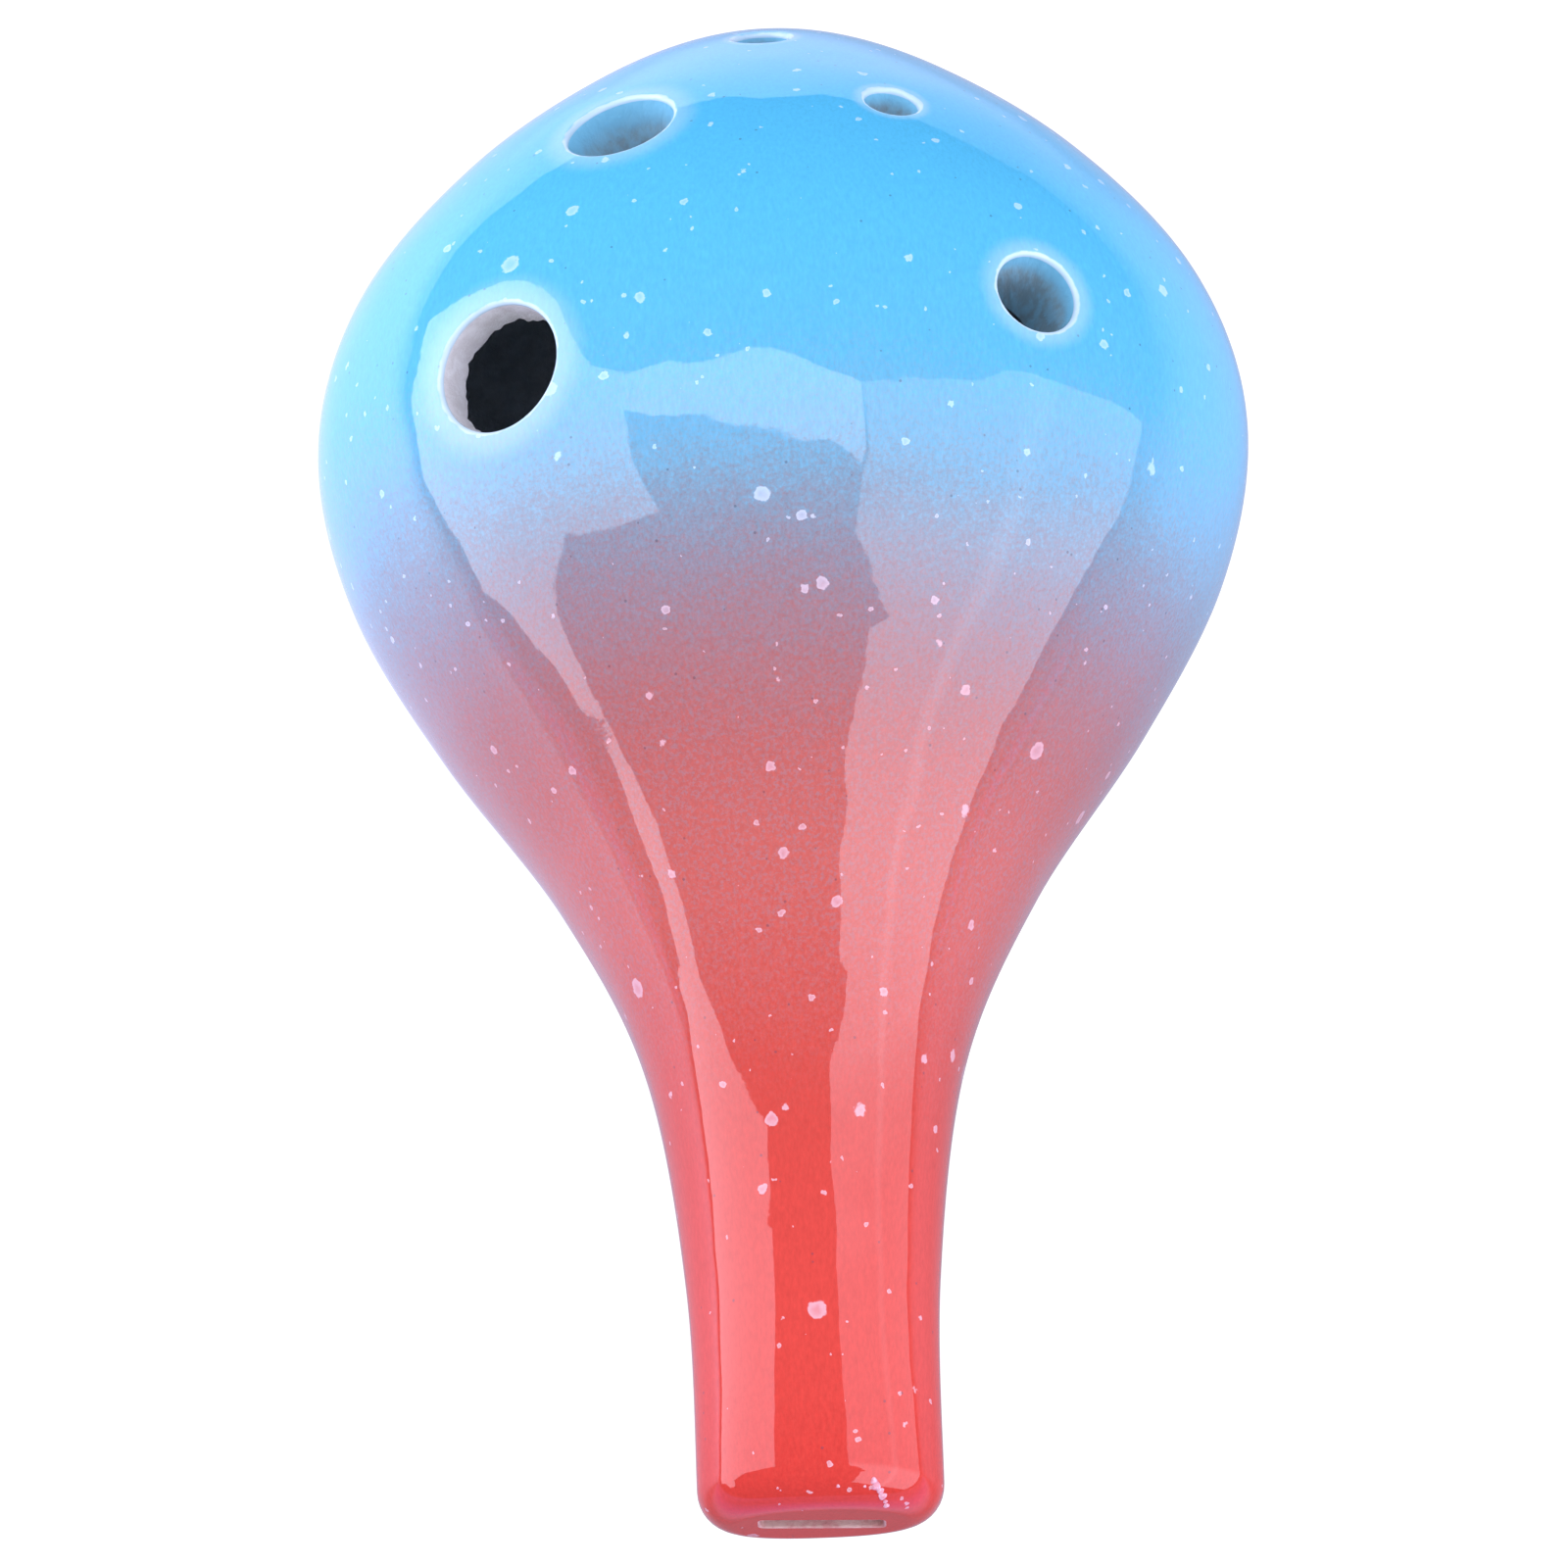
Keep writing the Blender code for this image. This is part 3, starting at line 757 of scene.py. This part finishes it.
# glaze colour along the body: share of the length, colour
GLAZE_COLOURS = (
    (0.00, (0.59, 0.044, 0.036)),
    (0.08, (0.64, 0.064, 0.052)),
    (0.20, (0.60, 0.063, 0.052)),
    (0.27, (0.555, 0.068, 0.055)),
    (0.33, (0.55, 0.104, 0.090)),
    (0.38, (0.56, 0.123, 0.105)),
    (0.44, (0.485, 0.120, 0.110)),
    (0.484, (0.39, 0.147, 0.156)),
    (0.527, (0.28, 0.204, 0.255)),
    (0.572, (0.21, 0.285, 0.385)),
    (0.612, (0.175, 0.390, 0.575)),
    (0.68, (0.095, 0.460, 0.755)),
    (0.86, (0.079, 0.482, 0.810)),
    (1.00, (0.080, 0.480, 0.840)),
)
SPRAY_TILT = 0.0004      # the blue comes further down on the right: share of the length for each mm of x

# noises in the glaze: scale per mm, detail, roughness
DRIFT = (0.05, 2.0, 0.5)
DROPLETS = (3.6, 3.0, 0.7)
FINE = (0.9, 2.0, 0.5)
COMBED = (4.0, 2.0, 0.7)
STRAY = (3.2, 3.0, 0.7)
EDGES = (2.2, 2.0, 0.5)
# how far three of them move the colours along the body, share of the length
DRIFT_REACH, DROPLET_REACH, FINE_REACH = 0.05, 0.13, 0.03
COMB_STRETCH, COMB_SHADE = (1.0, 0.3, 1.0), 0.36
EDGE_REACH, LIP_REACH = 0.5, 0.4   # mm, how ragged the splashes and the pale lips are

SPLASHES = ((0.19, 0.8, 0.80), (0.34, 0.85, 0.46), (0.56, 0.8, 0.24))    # cells per mm, share filled, size
SPLASH_EDGE = (1.05, 0.85)         # a splash fades out over this share of its radius
SPLASH_THIN = (0.2, 0.9, 0.55, 0.88)           # thinner in the middle
SPECKS, SPECK_SHARE, SPECK_EDGE, SPECK_STRENGTH = 0.8, 0.25, (0.11, 0.07), 0.45
STRAY_BAND, STRAY_START, STRAY_END = (0.44, 0.66), (0.22, 0.40, 0.0, 0.34), (0.60, 0.48)
BLUE_BAND = (0.46, 0.64)           # where splashes turn from pink to pale blue, share of the length

STRAY_COLOUR = (0.26, 0.26, 0.33)
SPLASH_ON_RED, SPLASH_ON_BLUE = (0.74, 0.43, 0.50), (0.43, 0.71, 0.93)
SPECK_COLOUR = (0.05, 0.06, 0.10)
# the pale lip is thin glaze; the halo round each hole is a painted reflection, in the same colour
LIP_AND_HALO_COLOUR, LIP_AND_HALO_STRENGTH, LIP_BAND = (0.66, 0.82, 0.93), 0.8, (0.50, 0.22)     # mm past the hole's edge
PAINTED_HALO_STRENGTH, PAINTED_HALO_SPREAD, PAINTED_HALO_START = 0.32, 1.6, 0.4  # out to so many radii, from so far past the edge
RIPPLES = ((0.5, 2.0, 0.008), (0.11, 1.0, 0.20))         # scale per mm, detail, height in mm
GRAIN = (1.6, 2.0, 0.0016)
SPLASH_HEIGHT = 0.010
GLAZE_ROUGHNESS, GLAZE_IOR = 0.035, 1.52


def make_glaze(openings):
    """Glaze that runs from red at the beak to blue at the tail; openings are (centre, radius)."""
    g = Graph("glaze")
    where = g.scaled(g.position(), 1 / MM)
    x, y, _ = g.node("SeparateXYZ", where).outputs
    along = g.math("DIVIDE", g.math("ADD", y, LENGTH / 2), LENGTH)

    # sprayed colours: they cross in drifts, with fine droplets of one in the other
    fine = g.noise(where, *FINE)
    spread = g.math("MULTIPLY_ADD", x, SPRAY_TILT, along)
    spread = g.stirred(spread, g.noise(where, *DRIFT), DRIFT_REACH)
    spread = g.stirred(spread, g.noise(where, *DROPLETS), DROPLET_REACH)
    spread = g.stirred(spread, fine, FINE_REACH)
    colour = g.ramp(spread, GLAZE_COLOURS, "B_SPLINE")
    combed = g.noise(g.vector("MULTIPLY", where, COMB_STRETCH), *COMBED)
    colour = g.scaled(colour, g.stirred(1.0, combed, COMB_SHADE))

    # stray droplets of the blue over the red, fewer towards the mouth
    stray = g.product(g.band(g.noise(where, *STRAY), *STRAY_BAND), g.band(along, *STRAY_START),
                      g.band(along, *STRAY_END))
    colour = g.mix(stray, colour, STRAY_COLOUR)

    # splashes of pale glaze in three sizes, thin in the middle
    edges = g.vector("SUBTRACT", g.noise(where, *EDGES, colour=True), (0.5, 0.5, 0.5))
    at = g.vector("ADD", where, g.scaled(edges, EDGE_REACH))
    dots = []
    for scale, share, size in SPLASHES:
        far, pick, lot = g.cells(at, scale)
        radius = g.product(lot, size * scale, g.math("LESS_THAN", pick, share))
        inner = g.math("DIVIDE", far, g.math("MAXIMUM", radius, 0.0001))
        dots.append(g.product(g.band(inner, *SPLASH_EDGE), g.band(inner, *SPLASH_THIN)))
    splashes = g.largest(*dots)
    colour = g.mix(splashes, colour, g.mix(g.band(along, *BLUE_BAND), SPLASH_ON_RED, SPLASH_ON_BLUE))

    # sparse dark specks
    far, pick, _ = g.cells(where, SPECKS)
    speck = g.product(g.band(far, *SPECK_EDGE), g.math("LESS_THAN", pick, SPECK_SHARE), SPECK_STRENGTH)
    colour = g.mix(speck, colour, SPECK_COLOUR)

    # the glaze runs thin and pale over each hole's lip; the fainter halo round it is a painted reflection of
    # the dimpled skin round the hole
    lips_and_painted_halos = []
    for centre, radius in openings:
        far = g.stirred(g.vector("DISTANCE", where, centre), fine, LIP_REACH)
        lips_and_painted_halos.append(g.band(far, *[radius + past for past in LIP_BAND]))
        lips_and_painted_halos.append(g.band(far, radius * PAINTED_HALO_SPREAD, radius + PAINTED_HALO_START, 0.0, PAINTED_HALO_STRENGTH))
    colour = g.mix(g.product(g.largest(*lips_and_painted_halos), LIP_AND_HALO_STRENGTH), colour, LIP_AND_HALO_COLOUR)

    # slow waves from hand finishing and a faint grain
    scale, detail, rise = GRAIN
    height = g.product(g.noise(where, scale, detail), rise)
    for scale, detail, rise in RIPPLES:
        height = g.math("MULTIPLY_ADD", g.noise(where, scale, detail), rise, height)
    height = g.math("MULTIPLY_ADD", splashes, SPLASH_HEIGHT, height)
    g.surface(colour, height, GLAZE_ROUGHNESS)
    g.shader.inputs["IOR"].default_value = GLAZE_IOR
    return g.material


# the other finishes: noises as above, heights in mm, colours
BLOTCHES, BLOTCH_BAND = (0.8, 4.0, 0.65), (0.35, 0.65)
PITS, PIT_HEIGHT, CLAY_ROUGHNESS = (4.0, 3.0, 0.7), 0.12, 0.8
MOTTLE, MOTTLE_BAND, MOTTLE_HEIGHT, BEAD_ROUGHNESS = (2.4, 3.0, 0.6), (0.38, 0.62), 0.02, 0.08
BEAD_PINK, BEAD_PALE = (0.70, 0.27, 0.36), (0.80, 0.47, 0.58)
STREAKS, STREAK_BAND, STREAK_STRETCH = (1.4, 3.0, 0.6), (0.35, 0.65), (1.0, 1.0, 0.25)
STREAK_HEIGHT, BORE_ROUGHNESS = 0.1, 0.15
BORE_SPREAD, BORE_START = 1.35, 0.1            # its blue goes out to so many radii, from so far past the edge
BORE_BLUE, BORE_GREY, BORE_PALE = (0.26, 0.68, 0.93), (0.34, 0.47, 0.53), (0.36, 0.62, 0.75)


def make_clay(name, pale, dark):
    """Unglazed fired clay, finely pitted."""
    g = Graph(name)
    where = g.scaled(g.position(), 1 / MM)
    blotch = g.band(g.noise(where, *BLOTCHES), *BLOTCH_BAND)
    g.surface(g.mix(blotch, dark, pale), g.product(g.noise(where, *PITS), PIT_HEIGHT), CLAY_ROUGHNESS)
    return g.material


def make_bead_glaze():
    """Pale pink glaze that has run together in small beads."""
    g = Graph("bead_glaze")
    mottle = g.band(g.noise(g.scaled(g.position(), 1 / MM), *MOTTLE), *MOTTLE_BAND)
    g.surface(g.mix(mottle, BEAD_PINK, BEAD_PALE), g.product(mottle, MOTTLE_HEIGHT), BEAD_ROUGHNESS)
    return g.material


def make_bore_glaze(openings):
    """Glaze that has run into the small holes: blue by the lip, thinner and greyer further in."""
    g = Graph("bore_glaze")
    where = g.scaled(g.position(), 1 / MM)
    near = []
    for centre, radius in openings:
        far = g.vector("DISTANCE", where, centre)
        near.append(g.band(far, radius * BORE_SPREAD, radius + BORE_START))
    streaks = g.noise(g.vector("MULTIPLY", where, STREAK_STRETCH), *STREAKS)
    deep = g.mix(g.band(streaks, *STREAK_BAND), BORE_GREY, BORE_PALE)
    g.surface(g.mix(g.largest(*near), deep, BORE_BLUE), g.product(streaks, STREAK_HEIGHT), BORE_ROUGHNESS)
    return g.material


# ---------------------------------------------------------------- building

window = notch_loop(WINDOW_WIDTH / 2, LABIUM_END - BEAK_END, NOTCH_CORNER)
notch = Opening(0.0, BEAK_END, -1, window, axis=(0, 0, -1), flip=-1, closed=False)
holes = [(hole[1:], side) for group, side in ((FINGER_HOLES, 1), (THUMB_HOLES, -1)) for hole in group]
holes += [(CORD_HOLE, 1), (CORD_HOLE, -1)]
rims = [(tuple(float(c) for c in Opening(x, y, side, None).origin + ORIGIN / MM), radius)
        for (x, y, radius), side in holes]
finishes = [
    make_glaze(rims),
    make_clay("bisque", (0.88, 0.90, 0.94), (0.74, 0.74, 0.77)),
    # the chamber's inside: the bare clay painted darker as shade
    make_clay("shaded_inner_clay", (0.52, 0.57, 0.62), (0.44, 0.49, 0.54)),
    make_bore_glaze(rims),
    make_clay("slot_clay", (0.66, 0.45, 0.42), (0.56, 0.26, 0.25)),
]

pieces = (
    (make_chamber("chamber_top", 1, FINGER_HOLES, finishes), "blue_glaze", ("upper_shell",)),
    (make_chamber("chamber_bottom", -1, THUMB_HOLES, finishes, notch), "blue_glaze", ("lower_shell",)),
    (make_beak("beak", finishes), "red_glaze", ("mouthpiece_upper", "mouthpiece_lower", "windway_block")),
    (make_wedge("voicing_wedge", finishes), "bisque", ("labium",)),
    (make_tail("tail", finishes), "blue_glaze", ("tail_plug",)),
    (make_beads("glaze_beads", [make_bead_glaze()]), "red_glaze", ()),
)
for ob, slot, nodes in pieces:
    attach(ob, "root")
    if nodes:
        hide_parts(*nodes)


# ---------------------------------------------------------------- studio

PANEL_FOOT = 0.85        # where the side panels' planes meet the height of the object, m to each side
OBJECT_HEIGHT = 0.023
TOP_HEIGHT = 0.80
LAMP_COLOUR = (0.96, 0.92, 1.08, 1.0)
# outlines of the lamps: y and height for the two that lean over from the sides, x and y for the one overhead
LEFT_PANEL = ((.58, .02), (.59, .15), (.56, .25), (.52, .34), (.44, .41), (.33, .455), (.27, .49),
              (.26, .535), (.10, .53), (.01, .55), (-.08, .565), (-.10, .44), (-.112, .36), (-.163, .304),
              (-.22, .235), (-.34, .225), (-.42, .19), (-.42, .12), (-.24, .10), (-.20, .02))
RIGHT_PANEL = ((.17, .02), (.19, .22), (.207, .36), (.22, .50), (.237, .673), (.016, .668), (-.152, .661),
               (-.195, .615), (-.30, .56), (-.34, .60), (-.9, .62), (-.9, .02))
TOP_PANEL = ((-.48, .38), (-.17, .373), (-.04, .40), (.084, .34), (.205, .28), (.205, .028), (.098, .084),
             (-.056, .141), (-.214, .192), (-.48, .237))
# name, corners, strength, fade (its axis, start, end, share at the start, share at the end), streak
LAMPS = (
    ("light_left", [(z - PANEL_FOOT, y, z) for y, z in LEFT_PANEL], 3.22, (2, 0.1, 0.45, 1.25, 0.92)),
    ("light_right", [(PANEL_FOOT - z, y, z) for y, z in RIGHT_PANEL], 2.2, (1, -0.15, -0.02, 1.40, 0.85),
     (0.375, 0.045, 1.30)),
    ("light_top", [(x, y, TOP_HEIGHT) for x, y in TOP_PANEL], 3.3, (0, 0.0, 1.0, 1.0, 1.0)),
)


def emitter(name, corners, strength, fade, streak=None):
    """A lamp's flat front with a fade, and maybe a streak along it: its height, half width and gain."""
    mesh = bpy.data.meshes.new(name)
    mesh.from_pydata([(x, y, z + OBJECT_HEIGHT) for x, y, z in corners], [], [list(range(len(corners)))])
    ob = link(name, mesh)
    g = Graph(name)
    axis, start, end, low, high = fade
    place = g.node("SeparateXYZ", g.position()).outputs
    level = g.node("MapRange", place[axis], start, end, low * strength, high * strength).outputs[0]
    if streak:
        height, width, gain = streak
        away = g.math("ABSOLUTE", g.math("SUBTRACT", place[2], height))
        level = g.product(level, g.band(away, width, 0.0, 1.0, gain))
    glow = g.node("Emission", LAMP_COLOUR, level)
    out = next(n for n in g.tree.nodes if n.type == "OUTPUT_MATERIAL")
    g.put(out.inputs["Surface"], glow.outputs[0])
    mesh.materials.append(g.material)
    ob.visible_camera = False


for lamp in LAMPS:
    emitter(*lamp)

FLOOR_REACH, FLOOR_BACK = 1.2, 0.30
FLOOR_SEEN, FLOOR_WHITE = 0.92, (1.0, 1.0, 1.0)
FLOOR_GREY, FLOOR_ROUGHNESS = (0.15, 0.15, 0.15, 1.0), 0.9
# how bright the floor is to the glaze, by x: it lies in the object's shade close by
FLOOR_GLOW = ((-0.18, 1.48), (-0.10, 1.15), (-0.06, 0.78), (-0.035, 0.55), (0.0, 0.26), (0.045, 0.28),
              (0.07, 0.50), (0.14, 0.62), (0.19, 0.50))
GLOW_REACH, GLOW_TOP = 0.2, 2.0    # the glow's ramp goes this far to each side and this bright
# the glow is then eased along x: start, end, share at the start, share at the end
LEFT_FADE = (-0.15, -0.80, 1.0, 0.15)
RIGHT_FADE = (0.12, 0.50, 1.0, 0.10)
TAIL_FADE = (-0.02, 0.14, 1.0, 0.30)
# and along y
SIDE_GLOW = (-0.03, 0.01, 0.92, 1.4)
BACK_FADE = (0.11, 0.30, 1.0, 0.20)
TAIL_GLOW = (0.07, 0.105, 0.0, 1.0)
MOUTH_SHADE = (-0.058, -0.068, 1.0, 0.35)
MOUTH_GLOW = (-0.068, -0.085, 0.0, 0.80)
MOUTH_FADE = (-0.080, -0.16, 1.0, 0.30)
FLOOR_TINT, MOUTH_TINT, TINT_BAND = (0.86, 0.90, 1.30), (0.95, 0.50, 1.55), (-0.07, -0.10)

floor_mesh = bpy.data.meshes.new("floor")
floor_mesh.from_pydata([(-FLOOR_REACH, -FLOOR_REACH, 0), (FLOOR_REACH, -FLOOR_REACH, 0),
                        (FLOOR_REACH, FLOOR_BACK, 0), (-FLOOR_REACH, FLOOR_BACK, 0)], [], [(0, 1, 2, 3)])
floor = link("floor", floor_mesh)
white = Graph("floor")
white.shader.inputs["Base Color"].default_value = FLOOR_GREY
white.shader.inputs["Roughness"].default_value = FLOOR_ROUGHNESS
across, behind, _ = white.node("SeparateXYZ", white.position()).outputs
reached = white.node("MapRange", across, -GLOW_REACH, GLOW_REACH, 0.0, 1.0).outputs[0]
glow = white.ramp(reached, [(x / (2 * GLOW_REACH) + 0.5, (level / GLOW_TOP,) * 3) for x, level in FLOOR_GLOW])
level = white.product(glow, GLOW_TOP, *[white.band(behind, *b) for b in (SIDE_GLOW, MOUTH_SHADE, BACK_FADE)])
tail_level = white.product(white.band(behind, *TAIL_GLOW), white.band(across, *TAIL_FADE))
mouth_level = white.product(white.band(behind, *MOUTH_GLOW), white.band(behind, *MOUTH_FADE))
level = white.largest(level, tail_level, mouth_level)
level = white.product(level, white.band(across, *LEFT_FADE), white.band(across, *RIGHT_FADE))
seen = white.node("LightPath").outputs["Is Camera Ray"]
tint = white.mix(white.band(behind, *TINT_BAND), FLOOR_TINT, MOUTH_TINT)
strength = white.node("MapRange", seen, 0.0, 1.0, level, FLOOR_SEEN).outputs[0]
white.put(white.shader.inputs["Emission Color"], white.mix(seen, tint, FLOOR_WHITE))
white.put(white.shader.inputs["Emission Strength"], strength)
floor_mesh.materials.append(white.material)

# an even pale fill all round, dim where the glaze mirrors it
FILL, MIRRORED, BACKDROP = 0.6, 0.06, 0.98
world = bpy.data.worlds.new("studio")
world.use_nodes = True
sky = world.node_tree
ray = sky.nodes.new("ShaderNodeLightPath")
level = sky.nodes.new("ShaderNodeMapRange")
level.inputs["To Min"].default_value = FILL
level.inputs["To Max"].default_value = MIRRORED
sky.links.new(ray.outputs["Is Glossy Ray"], level.inputs["Value"])
shown = sky.nodes.new("ShaderNodeMapRange")
shown.inputs["To Max"].default_value = BACKDROP
sky.links.new(ray.outputs["Is Camera Ray"], shown.inputs["Value"])
sky.links.new(level.outputs[0], shown.inputs["To Min"])
sky.links.new(shown.outputs[0], sky.nodes["Background"].inputs["Strength"])
sky.nodes["Background"].inputs["Color"].default_value = (1.0, 1.0, 1.0, 1.0)
bpy.context.scene.world = world

# the camera stands off from a point on the object and is turned to look just past it
STAND_OFF, ELEVATION, ROLL = 0.6036, math.radians(68), math.radians(-2.3)
LENS, SENSOR = 175.9, 36.0
MIDDLE = Vector((0.0, 0.01516, 0.0234))
AIM = Vector((-0.00088, -0.00005, 0.01725))
camera_data = bpy.data.cameras.new("camera")
camera_data.lens = LENS
camera_data.sensor_width = SENSOR
camera = link("camera", camera_data)
camera.location = MIDDLE + STAND_OFF * Vector((0.0, -math.cos(ELEVATION), math.sin(ELEVATION)))
camera.rotation_mode = "QUATERNION"
camera.rotation_quaternion = (AIM - camera.location).to_track_quat("-Z", "Y") @ Quaternion((0, 0, 1), ROLL)
bpy.context.scene.camera = camera
bpy.context.scene.view_settings.view_transform = "Standard"
